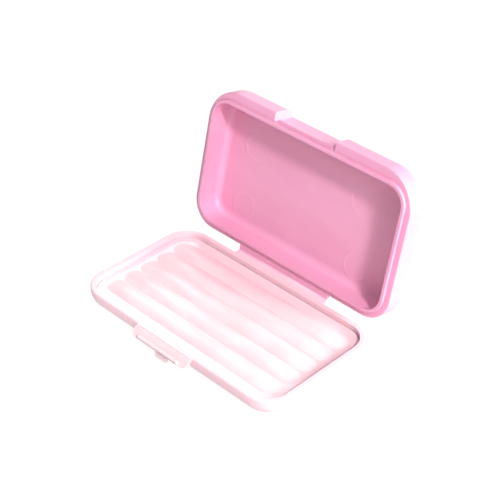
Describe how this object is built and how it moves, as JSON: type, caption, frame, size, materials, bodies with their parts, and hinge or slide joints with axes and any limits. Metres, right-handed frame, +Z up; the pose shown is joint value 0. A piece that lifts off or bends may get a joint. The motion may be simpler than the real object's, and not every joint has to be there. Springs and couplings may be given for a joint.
{
  "type": "hinged pocket case",
  "caption": "Pink moulded pocket case, standing open, with a film-hinged lid, a front clasp and a clear lift-out tray of soft wax sticks.",
  "frame": {"origin": "on the table under the middle of the base shell", "axes": "+X along the case's length, +Y from the clasp towards the lid hinge, +Z up from the table"},
  "size_m": [0.07, 0.0598, 0.0467],
  "materials": {
    "pink_plastic": "satin moulded polypropylene, slightly translucent",
    "clear_plastic": "thin clear formed sheet",
    "pale_wax": "soft translucent wax"
  },
  "bodies": {
    "base": {"base_shell": "pink_plastic", "lid_hinge_film": "pink_plastic", "latch_hinge_film": "pink_plastic"},
    "lid": {"lid_shell": "pink_plastic"},
    "latch": {"latch_clasp": "pink_plastic"},
    "tray": {"clear_tray": "clear_plastic"},
    "stick_1": {"wax_stick_1": "pale_wax"},
    "stick_2": {"wax_stick_2": "pale_wax"},
    "stick_3": {"wax_stick_3": "pale_wax"},
    "stick_4": {"wax_stick_4": "pale_wax"},
    "stick_5": {"wax_stick_5": "pale_wax"}
  },
  "joints": [
    {"name": "lid_hinge", "type": "hinge", "parent": "base", "child": "lid", "pos_m": [0, 0.02125, 0.00568], "axis": [-1, 0, 0], "range_deg": [-102.5, 55.5]},
    {"name": "latch_hinge", "type": "hinge", "parent": "base", "child": "latch", "pos_m": [-0.0015, -0.0203, 0.00515], "axis": [1, 0, 0], "range_deg": [-135, 20]},
    {"name": "tray_lift", "type": "slide", "parent": "base", "child": "tray", "axis": [0, 0, 1], "range_m": [0, 0.02]},
    {"name": "stick_1_lift", "type": "slide", "parent": "tray", "child": "stick_1", "axis": [0, 0, 1], "range_m": [0, 0.012]},
    {"name": "stick_2_lift", "type": "slide", "parent": "tray", "child": "stick_2", "axis": [0, 0, 1], "range_m": [0, 0.012]},
    {"name": "stick_3_lift", "type": "slide", "parent": "tray", "child": "stick_3", "axis": [0, 0, 1], "range_m": [0, 0.012]},
    {"name": "stick_4_lift", "type": "slide", "parent": "tray", "child": "stick_4", "axis": [0, 0, 1], "range_m": [0, 0.012]},
    {"name": "stick_5_lift", "type": "slide", "parent": "tray", "child": "stick_5", "axis": [0, 0, 1], "range_m": [0, 0.012]}
  ]
}
